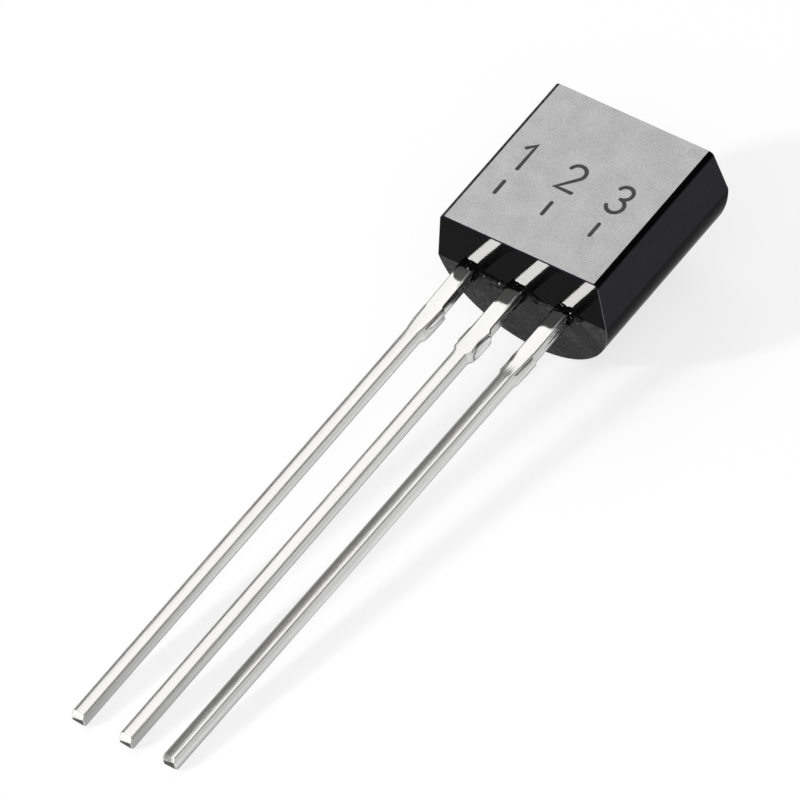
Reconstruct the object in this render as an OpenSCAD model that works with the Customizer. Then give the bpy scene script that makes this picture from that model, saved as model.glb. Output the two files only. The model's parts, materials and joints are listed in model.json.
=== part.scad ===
// Small-signal transistor in a three-lead moulded case with one flat face.
// It lies as it comes to rest: flat face up, on the lead-end edge of its round back and its
// three lead tips. X runs across the leads, Y along them towards the closed end, Z up.

/* [Body] */
// Width of the moulded body across its parting line
body_w = 4.52; // [4.4:0.01:4.8]
// Height of the moulded body along the leads, at its parting line
body_h = 4.68; // [4.4:0.01:5.2]
// Depth from the parting line to the flat face
front_depth = 1.25; // [1.05:0.01:1.5]
// Depth from the parting line to the round back
back_depth = 2.08; // [1.8:0.01:2.25]
// Lean of the two side walls of the front half, in degrees
side_draft = 7; // [4:0.5:10]
// Lean of the two end faces of the front half, in degrees
front_end_draft = 6; // [3:0.5:8]
// Lean of the two end faces of the back half, in degrees
back_end_draft = 5; // [3:0.5:7]
// Radius of the two long edges beside the flat face
edge_r = 0.15; // [0.08:0.01:0.2]

/* [Leads] */
// Distance between the centres of neighbouring leads
lead_pitch = 1.27; // [1.2:0.01:1.32]
// Offset of the middle lead from the middle of the body
lead_offset = -0.16; // [-0.2:0.01:0.2]
// Length of the leads outside the body
lead_len = 14.53; // [12:0.01:18]
// Thickness of the lead strip
lead_t = 0.36; // [0.3:0.01:0.45]
// Width of a lead below its trimmed tie bar
lead_w = 0.35; // [0.3:0.01:0.4]
// Width of a lead between the body and its trimmed tie bar
root_w = 0.38; // [0.35:0.01:0.45]
// Radius of the long edges of a lead
lead_edge_r = 0.05; // [0.03:0.005:0.08]
// Height of the front of the leads above the parting line
lead_rise = 0.08; // [0:0.01:0.12]

/* [Tie bar stubs] */
// Distance from the body to the start of the stubs that the trimmed tie bar leaves
stub_start = 1.26; // [1:0.02:1.8]
// Length of a stub along the lead, ramps included
stub_len = 0.9; // [0.6:0.02:1.2]
// Length of the ramp at each end of a stub
stub_ramp = 0.14; // [0.05:0.01:0.25]
// Distance that a stub stands out from each side of the lead
stub_out = 0.06; // [0.03:0.005:0.12]

/* [Lead tips] */
// Length of the bevel that the cutting tool leaves on the front of each tip
tip_bevel_len = 0.08; // [0.05:0.01:0.3]
// Depth of that bevel
tip_bevel_depth = 0.13; // [0.05:0.01:0.2]

/* [Lead straightness] */
// Twist of the emitter lead below its stubs, in degrees
emitter_twist = -1.5; // [-8:0.5:8]
// Twist of the base lead below its stubs, in degrees
base_twist = 0; // [-8:0.5:8]
// Twist of the collector lead below its stubs, in degrees
collector_twist = -8; // [-8:0.5:8]
// Lean of the collector lead below its stubs, in degrees, less than zero towards the base lead
collector_lean = -0.45; // [-1:0.05:1]

/* [Lead frame inside the body] */
// Gap between neighbouring pieces of the lead frame
frame_gap = 0.3; // [0.2:0.01:0.4]
// Distance from the lead-end face to the start of the wide posts
post_start = 0.7; // [0.5:0.01:0.9]
// Length of the base post
base_post_len = 1.2; // [0.8:0.01:1.4]
// Length of the emitter post
emitter_post_len = 2.4; // [1.8:0.01:2.8]
// Length of the pad that carries the die
pad_len = 1.5; // [1.1:0.01:1.7]

/* [Die and bond wires] */
// Side of the square silicon die
die_w = 0.5; // [0.3:0.01:0.7]
// Thickness of the die
die_t = 0.2; // [0.12:0.01:0.3]
// Thickness of the solder that holds the die
attach_t = 0.03; // [0.02:0.005:0.05]
// Margin of solder around the die
attach_margin = 0.04; // [0.02:0.005:0.1]
// Diameter of a bond wire
wire_d = 0.05; // [0.04:0.005:0.06]
// Diameter of the ball that welds a wire to the die
ball_d = 0.12; // [0.09:0.005:0.15]
// Height of that ball
ball_h = 0.05; // [0.03:0.005:0.08]
// Distance from the middle of the die to each ball
ball_offset = 0.12; // [0.08:0.01:0.15]
// Distance that a wire lands in from the end or side of its post
wire_land = 0.3; // [0.2:0.01:0.4]
// Radius of a wire's arc, as a multiple of the span that it bridges
wire_bend = 0.7; // [0.6:0.05:1]

/* [Hidden] */

$fn = 48;
fine = 144;
lap = 0.5;

// The back is one arc through both ends of the parting line and the lowest point
back_r = (pow(body_w / 2, 2) + pow(back_depth, 2)) / (2 * back_depth);
back_axis = back_r - back_depth;
// The rounded long edges touch the flat face at flat_half and the leaning side at edge_side
side_top = body_w / 2 - front_depth * tan(side_draft);
flat_half = side_top - edge_r * tan((90 - side_draft) / 2);
edge_centre = front_depth - edge_r;
edge_side = [flat_half + edge_r * cos(side_draft), edge_centre + edge_r * sin(side_draft)];
// Distance that each end face falls back at the flat face and at the round back
front_fall = front_depth * tan(front_end_draft);
back_fall = back_depth * tan(back_end_draft);

// Middle of each lead across the row
emitter_x = lead_offset - lead_pitch;
base_x = lead_offset;
collector_x = lead_offset + lead_pitch;
lead_back = lead_rise - lead_t;
lead_mid = lead_rise - lead_t / 2;
stub_mid = -stub_start - stub_len / 2;

// Plan of the lead frame inside the body
post_w = lead_pitch - frame_gap;
base_post_end = post_start + base_post_len;
pad_start = base_post_end + frame_gap;
pad_end = pad_start + pad_len;
pad_left = emitter_x + post_w / 2 + frame_gap;
pad_right = collector_x + post_w / 2;

// Place of the die and of what stands on it
die_x = base_x + attach_margin + die_w / 2;
die_y = (pad_start + pad_end) / 2;
die_floor = lead_rise + attach_t;
die_top = die_floor + die_t;
emitter_ball = [die_x - ball_offset, die_y + ball_offset, die_top];
base_ball = [die_x, die_y - ball_offset, die_top];
emitter_land = [emitter_x + post_w / 2 - wire_land, emitter_ball[1], lead_rise];
base_land = [base_x, base_post_end - wire_land, lead_rise];

// The case tips until its lead tips meet the surface that its back edge stands on
rest_tilt = atan2(back_depth + lead_back, lead_len + back_fall);
floor_z = -lead_len * sin(rest_tilt) + lead_back * cos(rest_tilt);
near_y = -lead_len * cos(rest_tilt) - (lead_rise - tip_bevel_depth) * sin(rest_tilt);
far_y = (body_h - back_fall) * cos(rest_tilt) + back_depth * sin(rest_tilt);

// Lays the part down with the middle of its footprint at the origin
module at_rest() {
    translate([0, -(near_y + far_y) / 2, -floor_z])
        rotate([rest_tilt, 0, 0])
            children();
}

// Turns an XZ outline into a bar along Y, from y0 to y1
module bar(y0, y1) {
    translate([0, y1, 0])
        rotate([90, 0, 0])
            linear_extrude(height = y1 - y0)
                children();
}

// Turns an XY outline into a sheet between two heights
module sheet(z0, z1) {
    translate([0, 0, z0])
        linear_extrude(height = z1 - z0)
            children();
}

// Cross-section of the front half: flat face and leaning sides, open at the round edges
module front_section() {
    polygon([
        [-flat_half, front_depth],
        [flat_half, front_depth],
        [flat_half, edge_centre],
        edge_side,
        [body_w / 2, 0],
        [0, -back_depth / 2],
        [-body_w / 2, 0],
        [-edge_side[0], edge_side[1]],
        [-flat_half, edge_centre]
    ]);
}

// Cross-section of the back half: the part of one circle below the parting line
module back_section() {
    intersection() {
        translate([0, back_axis])
            circle(r = back_r, $fn = fine);
        translate([-body_w, -2 * back_depth])
            square([2 * body_w, 2 * back_depth]);
    }
}

// Side view of the body: both ends lean back from the parting line
module body_profile() {
    polygon([
        [0, 0],
        [front_fall, front_depth],
        [body_h - front_fall, front_depth],
        [body_h, 0],
        [body_h - back_fall, -back_depth],
        [back_fall, -back_depth]
    ]);
}

module moulding() {
    intersection() {
        union() {
            bar(-lap, body_h + lap)
                front_section();
            bar(-lap, body_h + lap)
                back_section();
            for (side = [-1, 1])
                bar(-lap, body_h + lap)
                    translate([side * flat_half, edge_centre])
                        circle(r = edge_r);
        }
        translate([-body_w, 0, 0])
            rotate([90, 0, 90])
                linear_extrude(height = 2 * body_w)
                    body_profile();
    }
}

// Outline of a lead's cross-section with its middle at the origin
module lead_section(width) {
    square([width - 2 * lead_edge_r, lead_t], center = true);
    square([width, lead_t - 2 * lead_edge_r], center = true);
    for (x = [-1, 1], z = [-1, 1])
        translate([x * (width / 2 - lead_edge_r), z * (lead_t / 2 - lead_edge_r)])
            circle(r = lead_edge_r);
}

// Wedge that the cutting tool takes off the front of a tip
module tip_cut(tip) {
    rotate([90, 0, 90])
        linear_extrude(height = 2 * lead_w, center = true)
            polygon([
                [tip, lead_t / 2 - tip_bevel_depth],
                [tip + tip_bevel_len, lead_t / 2],
                [tip + tip_bevel_len, lead_t],
                [tip - lap, lead_t],
                [tip - lap, lead_t / 2 - tip_bevel_depth]
            ]);
}

// A lead from its tip to the start of its post, with the stubs of its trimmed tie bar
module lead_shank(x, twist, lean) {
    translate([x, 0, lead_mid]) {
        bar(stub_mid, post_start)
            lead_section(root_w);
        translate([0, stub_mid, 0])
            rotate([0, twist, lean])
                difference() {
                    bar(-lead_len - stub_mid, 0)
                        lead_section(lead_w);
                    tip_cut(-lead_len - stub_mid);
                }
        sheet(-lead_t / 2, lead_t / 2)
            stub_outline();
    }
}

// Plan of the two stubs and the lead between them
module stub_outline() {
    root = lead_w / 2 - lead_edge_r;
    out = lead_w / 2 + stub_out;
    polygon([
        [-root, -stub_start],
        [-out, -stub_start - stub_ramp],
        [-out, -stub_start - stub_len + stub_ramp],
        [-root, -stub_start - stub_len],
        [root, -stub_start - stub_len],
        [out, -stub_start - stub_len + stub_ramp],
        [out, -stub_start - stub_ramp],
        [root, -stub_start]
    ]);
}

// A wide post inside the body, which anchors its lead
module post(x, length) {
    sheet(lead_back, lead_rise)
        translate([x - post_w / 2, post_start])
            square([post_w, length]);
}

module lead_emitter_form() {
    lead_shank(emitter_x, emitter_twist, 0);
    post(emitter_x, emitter_post_len);
}

module lead_base_form() {
    lead_shank(base_x, base_twist, 0);
    post(base_x, base_post_len);
}

module lead_collector_form() {
    lead_shank(collector_x, collector_twist, collector_lean);
    post(collector_x, base_post_len + frame_gap + pad_len);
    sheet(lead_back, lead_rise)
        translate([pad_left, pad_start])
            square([pad_right - pad_left, pad_len]);
}

module die_attach_form() {
    side = die_w + 2 * attach_margin;
    sheet(lead_rise, die_floor)
        translate([die_x - side / 2, die_y - side / 2])
            square(side);
}

module die_form() {
    sheet(die_floor, die_top)
        translate([die_x - die_w / 2, die_y - die_w / 2])
            square(die_w);
}

// A wire that arches from a ball on the die to its landing on a post
module bond_wire_form(ball, land) {
    span = norm([land[0] - ball[0], land[1] - ball[1]]);
    drop = ball[2] - land[2];
    chord = norm([span, drop]);
    bend = wire_bend * span;
    half_angle = asin(chord / 2 / bend);
    dip = asin(wire_d / bend);
    lean = atan2(drop, span);
    heading = atan2(land[1] - ball[1], land[0] - ball[0]);
    translate(ball)
        cylinder(h = ball_h, d = ball_d);
    difference() {
        translate(ball)
            rotate([90, 0, heading])
                rotate([0, 0, -lean])
                    translate([chord / 2, -bend * cos(half_angle), 0])
                        rotate([0, 0, 90 - half_angle - dip])
                            rotate_extrude(angle = 2 * (half_angle + dip), $fn = fine)
                                translate([bend, 0])
                                    circle(d = wire_d);
        sheet(lead_back, lead_rise)
            square(2 * body_h, center = true);
        die_form();
    }
}

module body() {
    color([0.11, 0.11, 0.12])
        difference() {
            moulding();
            lead_emitter_form();
            lead_base_form();
            lead_collector_form();
            die_attach_form();
            die_form();
            bond_wire_form(base_ball, base_land);
            bond_wire_form(emitter_ball, emitter_land);
        }
}

module lead_emitter() {
    color([0.8, 0.8, 0.81])
        lead_emitter_form();
}

module lead_base() {
    color([0.8, 0.8, 0.81])
        lead_base_form();
}

module lead_collector() {
    color([0.8, 0.8, 0.81])
        lead_collector_form();
}

module die() {
    color([0.35, 0.37, 0.42])
        die_form();
}

module die_attach() {
    color([0.6, 0.6, 0.58])
        die_attach_form();
}

module bond_wire_base() {
    color([0.83, 0.67, 0.3])
        bond_wire_form(base_ball, base_land);
}

module bond_wire_emitter() {
    color([0.83, 0.67, 0.3])
        bond_wire_form(emitter_ball, emitter_land);
}

at_rest() body();
at_rest() lead_emitter();
at_rest() lead_base();
at_rest() lead_collector();
at_rest() die();
at_rest() die_attach();
at_rest() bond_wire_base();
at_rest() bond_wire_emitter();
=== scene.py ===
# %% [markdown] # A small transistor on a pale table  A TO-92 transistor is a chip in a thumbnail
# of black plastic with three tinned legs. The plastic case is half a cylinder with a flat front,
# and the legs are thin strips of metal that were stamped, plated and cut free from a long frame.
# The whole thing is 19 mm long, so each look of this lesson comes from very small things: the
# draft of a mould, the roll of a stamped edge, a skin of resin where a leg comes out. Each solid
# is an object in metres, at rest on the table. The lesson measures that frame and dresses it, and
# never moves it.

# %% Load the frame
import json
import math

import bmesh
import bpy
from mathutils import Matrix, Vector, noise


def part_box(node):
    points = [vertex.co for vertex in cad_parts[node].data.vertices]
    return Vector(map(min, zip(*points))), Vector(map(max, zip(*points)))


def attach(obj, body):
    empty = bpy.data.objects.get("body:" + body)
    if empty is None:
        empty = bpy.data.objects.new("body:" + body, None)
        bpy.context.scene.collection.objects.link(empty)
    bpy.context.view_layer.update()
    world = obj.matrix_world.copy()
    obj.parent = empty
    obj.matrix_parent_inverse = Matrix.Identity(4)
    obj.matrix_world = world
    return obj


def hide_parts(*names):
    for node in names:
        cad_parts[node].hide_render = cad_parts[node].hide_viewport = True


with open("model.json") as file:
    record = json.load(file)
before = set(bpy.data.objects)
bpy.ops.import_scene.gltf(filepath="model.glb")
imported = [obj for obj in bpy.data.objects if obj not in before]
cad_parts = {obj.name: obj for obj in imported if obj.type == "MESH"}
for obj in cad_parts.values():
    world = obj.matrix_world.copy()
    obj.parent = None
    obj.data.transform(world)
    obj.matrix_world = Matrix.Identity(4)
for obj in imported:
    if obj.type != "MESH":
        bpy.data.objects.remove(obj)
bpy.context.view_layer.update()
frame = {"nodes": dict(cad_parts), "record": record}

scene = bpy.context.scene
scene.view_settings.view_transform = "Standard"
print("solids:", ", ".join(sorted(frame["nodes"])))

# %% [markdown]
# ## Where the camera stands
#
# A very small thing is seen best with a long lens from some way off, so its parallel edges stay
# almost parallel. The camera could be aimed with a constraint, but a matrix built from three
# plain vectors has no hidden steps: right, up and back are the columns of its turn. The camera
# looks down at 43 degrees from the front right, and leans a little to one side.

# %% The camera
MM = 0.001
LOOK_AT = Vector((-0.168, 0.598, 2.129)) * MM
VIEW_DISTANCE = 330.04 * MM
VIEW_AZIMUTH = math.radians(39.29)
VIEW_ELEVATION = math.radians(43.457)
VIEW_ROLL = math.radians(-4.51)
LENS = 688.3


def direction(azimuth, elevation):
    """A unit vector from the object. Azimuth 0 points along -Y, and 90 degrees along +X."""
    flat = math.cos(elevation)
    return Vector((math.sin(azimuth) * flat, -math.cos(azimuth) * flat, math.sin(elevation)))


def standing(place, back, roll=0.0, upper=Vector((0, 0, 1))):
    """The matrix of a camera or lamp at a place, with its own Z axis along back."""
    level = upper.cross(back).normalized()
    upright = back.cross(level)
    right = level * math.cos(roll) + upright * math.sin(roll)
    up = back.cross(right)
    turn = Matrix((right, up, back)).transposed()
    return Matrix.Translation(place) @ turn.to_4x4()


camera_data = bpy.data.cameras.new("camera")
camera_data.lens = LENS
camera_data.sensor_width = 36.0
camera_data.clip_start = 0.01
camera_data.clip_end = 20.0
camera = bpy.data.objects.new("camera", camera_data)
to_camera = direction(VIEW_AZIMUTH, VIEW_ELEVATION)
camera.matrix_world = standing(LOOK_AT + to_camera * VIEW_DISTANCE, to_camera, VIEW_ROLL)
scene.collection.objects.link(camera)
scene.camera = camera
print("camera at", [round(v / MM, 1) for v in camera.location], "mm")

# %% [markdown]
# ## Small tools for nodes
#
# A material or a modifier in Blender is a little network. Each tool here adds one node and feeds
# its sockets, from a number or from another node's output. An output is wrapped as a Value, and
# Python's own signs on a Value add Math nodes, so the recipes further down read like plain sums:
# 1 - a * b is a Multiply node and a Subtract node. Shaders and Geometry Nodes both use them.

# %% Tools for nodes


def sign(operation, number_first=False):
    """What one sign of Python does to a Value: it adds a Math node."""

    def method(value, *others):
        values = (*others, value) if number_first else (value, *others)
        node = add_node(value.socket.id_data, "ShaderNodeMath", {"operation": operation})
        return fed_in_order(node, *values)

    return method


class Value:
    """The output of a node. Every sign or word used on it adds one node to the same tree."""

    def __init__(self, socket):
        self.socket = socket

    __add__ = sign("ADD")
    __sub__ = sign("SUBTRACT")
    __rsub__ = sign("SUBTRACT", True)
    __mul__ = sign("MULTIPLY")
    __truediv__ = sign("DIVIDE")
    __rtruediv__ = sign("DIVIDE", True)
    __pow__ = sign("POWER")
    __abs__ = sign("ABSOLUTE")
    __lt__ = sign("LESS_THAN")
    __gt__ = sign("GREATER_THAN")
    least = sign("MINIMUM")
    most = sign("MAXIMUM")
    floor = sign("FLOOR")
    cosine = sign("COSINE")
    sine = sign("SINE")
    times_plus = sign("MULTIPLY_ADD")

    def ramp(self, low, high, to_low=0.0, to_high=1.0):
        """This value carried from one range to another, and held at its ends."""
        node = add_node(self.socket.id_data, "ShaderNodeMapRange")
        return fed_in_order(node, self, low, high, to_low, to_high)

    def blend(self, first, second, kind="RGBA"):
        """The first of two colours or vectors where this value is 0, the second where it is 1."""
        tree = self.socket.id_data
        node = add_node(tree, "ShaderNodeMix", {"data_type": kind}, Factor=self, A=first, B=second)
        return Value(node.outputs["Result"])


def feed(socket, value):
    """Links an output into a socket, or writes a plain value there."""
    if isinstance(value, Value):
        socket.id_data.links.new(value.socket, socket)
    else:
        socket.default_value = value


def fed_in_order(node, *values):
    """The first output of a node, after its sockets are fed from the first one on."""
    for socket, value in zip(node.inputs, values):
        feed(socket, value)
    return Value(node.outputs[0])


def set_inputs(node, **inputs):
    """Feeds inputs of a node by their names, which have a low line for each space."""
    for name, value in inputs.items():
        feed(node.inputs[name.replace("_", " ")], value)


def add_node(tree, kind, settings=None, **inputs):
    """A new node with its settings made and its named inputs fed."""
    node = tree.nodes.new(kind)
    for name, value in (settings or {}).items():
        setattr(node, name, value)
    set_inputs(node, **inputs)
    return node


def output_of(tree, kind, settings=None, **inputs):
    """The first output of a new node."""
    return fed_in_order(add_node(tree, kind, settings, **inputs))


def outputs_of(tree, kind, settings=None, **inputs):
    """All outputs of a new node, by their names."""
    node = add_node(tree, kind, settings, **inputs)
    return {socket.name: Value(socket) for socket in node.outputs}


def split(vector):
    """The three parts of a vector."""
    return outputs_of(vector.socket.id_data, "ShaderNodeSeparateXYZ", Vector=vector)


def grey(level):
    """A neutral colour."""
    return (level, level, level, 1.0)


def new_material(name):
    """An empty material and its Principled shader."""
    material = bpy.data.materials.new(name)
    material.use_nodes = True
    return material, material.node_tree.nodes["Principled BSDF"]


print("a Value knows", sum(callable(word) for word in vars(Value).values()), "signs and words")

# %% [markdown]
# ## A white table that still takes a shadow
#
# The table is a sheet of white acrylic, much larger than the view. Strong lamps would burn the
# legs out long before they made the table white. So the table glows for the rays that look at it,
# from the camera, from a reflection or through glass, and its own paint gives the rest. The glow
# lights nothing, and a shadow still takes the painted part away.

# %% The table
TABLE_SIZE = 3.0
TABLE_PAINT = 0.30
TABLE_GLOW = 0.75

table_material, shader = new_material("white_table")
ray = outputs_of(shader.id_data, "ShaderNodeLightPath")
looked_at = ray["Is Camera Ray"].most(ray["Is Glossy Ray"].most(ray["Is Transmission Ray"]))
set_inputs(shader, Base_Color=grey(TABLE_PAINT), Roughness=1.0, Specular_IOR_Level=0.0)
set_inputs(shader, Emission_Color=grey(1.0), Emission_Strength=looked_at * TABLE_GLOW)

half = TABLE_SIZE / 2
table_mesh = bpy.data.meshes.new("table")
corners = [(-half, -half, 0), (half, -half, 0), (half, half, 0), (-half, half, 0)]
table_mesh.from_pydata(corners, [], [(0, 1, 2, 3)])
table_mesh.materials.append(table_material)
table = bpy.data.objects.new("table", table_mesh)
scene.collection.objects.link(table)
print("table", TABLE_SIZE, "m square")

# %% [markdown]
# ## Lamps for a black mirror and a white mirror
#
# Polished legs and glossy resin show the room more than they show themselves. So each lamp is
# placed for what it does in a reflection. A wide soft panel stands where the flat and the fronts
# of the legs look, a small bright one where the lead end of the case mirrors the legs, and a low
# one in front for the cut tips. A dim square one fills the gap between the first two. A large
# panel near the camera adds light that nothing mirrors. The room behind stays a dim grey, which
# keeps the rounded edges of the case black.

# %% The lamps
LAMP_DISTANCE = 0.6
ROOM_GREY = 0.22
ALONG_LEGS = Vector((0, 0.993, 0.121))
UPRIGHT = Vector((0, 0, 1))

#        name            towards                upper side   width  height  radiance
PANELS = [
    ("front_panel", Vector((-0.405, 0.386, 0.829)), ALONG_LEGS, 25.0, 50.0, 1.17),
    ("strip_light", Vector((-0.46, -0.711, 0.531)), UPRIGHT, 5.2, 10.5, 92.0),
    ("top_panel", Vector((-0.46, -0.38, 0.80)), UPRIGHT, 14.0, 14.0, 1.9),
    ("tip_panel", Vector((-0.50, -0.86, 0.22)), UPRIGHT, 34.0, 24.0, 1.5),
    ("fill_panel", Vector((0.36, -0.52, 0.77)), UPRIGHT, 44.0, 44.0, 1.55),
]


def soft_panel(name, towards, upper, width, height, radiance):
    """A lamp whose width and height are angles in degrees as the object sees them."""
    towards = towards.normalized()
    lamp = bpy.data.lights.new(name, "AREA")
    lamp.shape = "RECTANGLE"
    lamp.size = 2 * LAMP_DISTANCE * math.tan(math.radians(width / 2))
    lamp.size_y = 2 * LAMP_DISTANCE * math.tan(math.radians(height / 2))
    lamp.energy = radiance * math.pi * lamp.size * lamp.size_y
    stand = bpy.data.objects.new(name, lamp)
    stand.matrix_world = standing(towards * LAMP_DISTANCE, towards, 0.0, upper)
    scene.collection.objects.link(stand)
    return stand


for panel in PANELS:
    made = soft_panel(*panel)
    print(made.name, round(made.data.energy, 3), "W")

world = bpy.data.worlds.new("dim_room")
world.use_nodes = True
world.node_tree.nodes["Background"].inputs["Color"].default_value = grey(ROOM_GREY)
scene.world = world

# %% [markdown]
# ## From the case's own frame to the table
#
# The case lies on the edge of its round back and on the tips of its legs, so it is tipped by
# seven degrees. It is easier to draw square: X across the flat, Y from the lead end to the far
# end, and Z out of the flat, with zero on the line where the two halves of the mould met. The
# packed record gives the direction of the flat, which is the tip. Turned back by it, the widest
# points of the case are the parting line, and the rest is measured from there.

# %% The case's own frame
flat_axis = next(Vector(m["axis"]) for m in frame["record"]["mounts"] if m["name"] == "flat_face")
tip = math.atan2(-flat_axis.y, flat_axis.z)
level_case = [Matrix.Rotation(-tip, 3, "X") @ v.co for v in frame["nodes"]["body"].data.vertices]
half_width = max(p.x for p in level_case)
parting = [p for p in level_case if p.x > half_width - 1e-6]
parting_start = min(p.y for p in parting)
parting_height = sum(p.z for p in parting) / len(parting)

CASE_HALF = half_width / MM
CASE_LENGTH = (max(p.y for p in parting) - parting_start) / MM
FRONT_DEPTH = (max(p.z for p in level_case) - parting_height) / MM
BACK_DEPTH = (parting_height - min(p.z for p in level_case)) / MM
rest = (
    Matrix.Rotation(tip, 4, "X")
    @ Matrix.Translation((0, parting_start, parting_height))
    @ Matrix.Scale(MM, 4)
)
print("tipped by", round(math.degrees(tip), 3), "degrees; half width", round(CASE_HALF, 3))
print("length", round(CASE_LENGTH, 3), "front", round(FRONT_DEPTH, 3), "back", round(BACK_DEPTH, 3))


def close_shape(shape, mesh):
    """Writes a bmesh into a mesh, with its faces pointing outwards."""
    bmesh.ops.recalc_face_normals(shape, faces=shape.faces)
    shape.to_mesh(mesh)
    shape.free()


def new_piece(name, mesh, slot, *stands_for):
    """Lays a finished mesh in millimetres on the table as a piece of the object."""
    mesh.transform(rest)
    mesh.update()
    piece = bpy.data.objects.new(name, mesh)
    scene.collection.objects.link(piece)
    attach(piece, "root")
    if stands_for:
        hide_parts(*stands_for)
    return piece


def settle_normals(piece, angle):
    """Smooth shading with crisp edges, where the big flat faces keep their own direction."""
    piece.data.polygons.foreach_set("use_smooth", [True] * len(piece.data.polygons))
    piece.data.set_sharp_from_angle(angle=math.radians(angle))
    weighted = piece.modifiers.new("settle normals", "WEIGHTED_NORMAL")
    weighted.keep_sharp = True
    weighted.weight = 80


# %% [markdown]
# ## Surface grain, shared by the finishes
#
# Moulded resin, plated metal and silicon all carry small unevenness, at different sizes. One node
# group makes it for all of them: a soft cloud for the colour, a fine grain for the height, and a
# stretch along the length for what was drawn or wiped in one direction. It works on the object's
# own coordinates, turned by the tip of the case, so the stretch follows the legs.

# %% The grain group
NOISE_LOW = 0.28
NOISE_HIGH = 0.72


def level_place(tree):
    """The object's own coordinates, turned back by the tip of the case."""
    place = outputs_of(tree, "ShaderNodeTexCoord")["Object"]
    return output_of(tree, "ShaderNodeMapping", Vector=place, Rotation=(-tip, 0, 0))


def grain_group():
    """Cloud and Grain, each from 0 to 1, at the sizes that its inputs name in millimetres."""
    group = bpy.data.node_groups.new("surface_grain", "ShaderNodeTree")
    face = group.interface
    for name, value in (("Cloud size", 1.0), ("Grain size", 0.05), ("Stretch", 1.0)):
        face.new_socket(name, in_out="INPUT", socket_type="NodeSocketFloat").default_value = value
    for name in ("Cloud", "Grain"):
        face.new_socket(name, in_out="OUTPUT", socket_type="NodeSocketFloat")
    given = outputs_of(group, "NodeGroupInput")
    result = add_node(group, "NodeGroupOutput").inputs
    along = 1.0 / MM / given["Stretch"]
    scales = output_of(group, "ShaderNodeCombineXYZ", X=1.0 / MM, Y=along, Z=1.0 / MM)
    stretch = add_node(group, "ShaderNodeVectorMath", {"operation": "MULTIPLY"})
    place = fed_in_order(stretch, level_place(group), scales)
    for name in ("Cloud", "Grain"):
        scale = 1.0 / given[name + " size"]
        texture = output_of(group, "ShaderNodeTexNoise", Vector=place, Detail=3.0, Scale=scale)
        feed(result[name], texture.ramp(NOISE_LOW, NOISE_HIGH))
    return group


GRAIN = grain_group()


def add_grain(shader, cloud, grain, stretch=1.0):
    """The grain group beside a shader, with that material's own sizes."""
    sizes = {"Cloud_size": cloud, "Grain_size": grain, "Stretch": stretch}
    return outputs_of(shader.id_data, "ShaderNodeGroup", {"node_tree": GRAIN}, **sizes)


def paint(shader, tone, dark, light, shine, roughness, **others):
    """A colour between two tones and a roughness between two values, and other inputs."""
    rough = shine.ramp(0.0, 1.0, *roughness)
    set_inputs(shader, Base_Color=tone.blend(dark, light), Roughness=rough, **others)


def add_bump(shader, height, strength, depth):
    """Turns a height into a tilt of the surface. The depth is in millimetres."""
    how = {"Height": height, "Strength": strength, "Distance": depth * MM}
    set_inputs(shader, Normal=output_of(shader.id_data, "ShaderNodeBump", **how))


print("grain group:", [s.name for s in GRAIN.interface.items_tree])

# %% [markdown]
# ## The skins of one black resin
#
# The case is one black epoxy, but its mould was not polished all over. The lead end of the front
# half and the right long edge are the best mirrors, and the end shows the legs again. The sides
# are smooth, and the round back has a satin skin. The left long edge and the lower half of each
# end keep the rough spark-eroded skin of the steel. The flat was made matte for the marking, and
# there the resin is painted a soft grey: partly the tone of its matte skin, partly a painted sheen.
# On the right of the lead end its rim is painted a thin grey line, a painted highlight. Resin that
# crept out of the mould is sooty where it is thick, a dull film where it is thin, and pale where it
# broke into crumbs. The black of the thick fins and the dark film below them are partly painted
# shade, and the pale of the crumbs is a painted glint. One material for each skin is plainer to
# read than one material with masks.

# %% The resin
NEUTRAL = (1.0, 0.98, 1.02)
VIOLET = (1.08, 0.88, 1.7)
RESIN_IOR = 1.4
RESIN_CLOUD = 0.7

#    name            base   tint     roughness     mirror  grain  depth  uneven
SKINS = [
    ("polished_resin", 0.0085, VIOLET, (0.06, 0.12), 0.11, 0.12, 0.0002, 0.2),
    ("mirror_resin", 0.0018, NEUTRAL, (0.03, 0.06), 0.055, 0.12, 0.0001, 0.2),
    ("soot_and_shade_resin", 0.002, NEUTRAL, (0.30, 0.45), 0.05, 0.04, 0.004, 0.2),
    ("back_resin", 0.024, NEUTRAL, (0.13, 0.19), 0.006, 0.06, 0.001, 0.2),
    ("eroded_resin", 0.037, NEUTRAL, (0.45, 0.6), 0.14, 0.07, 0.003, 0.7),
    # The stain skin is partly a real stain and partly painted shade.
    ("stain_and_shade_resin", 0.015, NEUTRAL, (0.5, 0.65), 0.01, 0.05, 0.004, 0.8),
    # The rim skin is a pale grey, a painted highlight along the rim.
    ("rim_highlight_paint", 0.17, NEUTRAL, (0.3, 0.5), 0.5, 0.03, 0.002, 0.2),
    ("wisp_resin", 0.045, NEUTRAL, (0.4, 0.6), 0.08, 0.04, 0.004, 0.6),
    # The crumb skin is pale: a painted glint on real crumbs of resin.
    ("crumb_glint_paint", 0.42, NEUTRAL, (0.2, 0.4), 0.5, 0.02, 0.001, 0.2),
]


def black_resin(name, base, tint, roughness, level, grain_size, depth, uneven):
    """Black epoxy: a near-black base with a mould's fine grain."""
    material, shader = new_material(name)
    grain = add_grain(shader, RESIN_CLOUD, grain_size)
    dark = (*((1 - uneven) * base * part for part in tint), 1.0)
    light = (*((1 + uneven) * base * part for part in tint), 1.0)
    mottled = (grain["Cloud"] * 0.4 + grain["Grain"] * 0.6).ramp(0.3, 0.7)
    shine = {"IOR": RESIN_IOR, "Specular_IOR_Level": level}
    paint(shader, mottled, dark, light, grain["Cloud"], roughness, **shine)
    add_bump(shader, grain["Grain"], 1.0, depth)
    return material


skins = {row[0]: black_resin(*row) for row in SKINS}

# The flat's light grey is partly the tone of its matte skin and partly a painted sheen.
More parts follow.
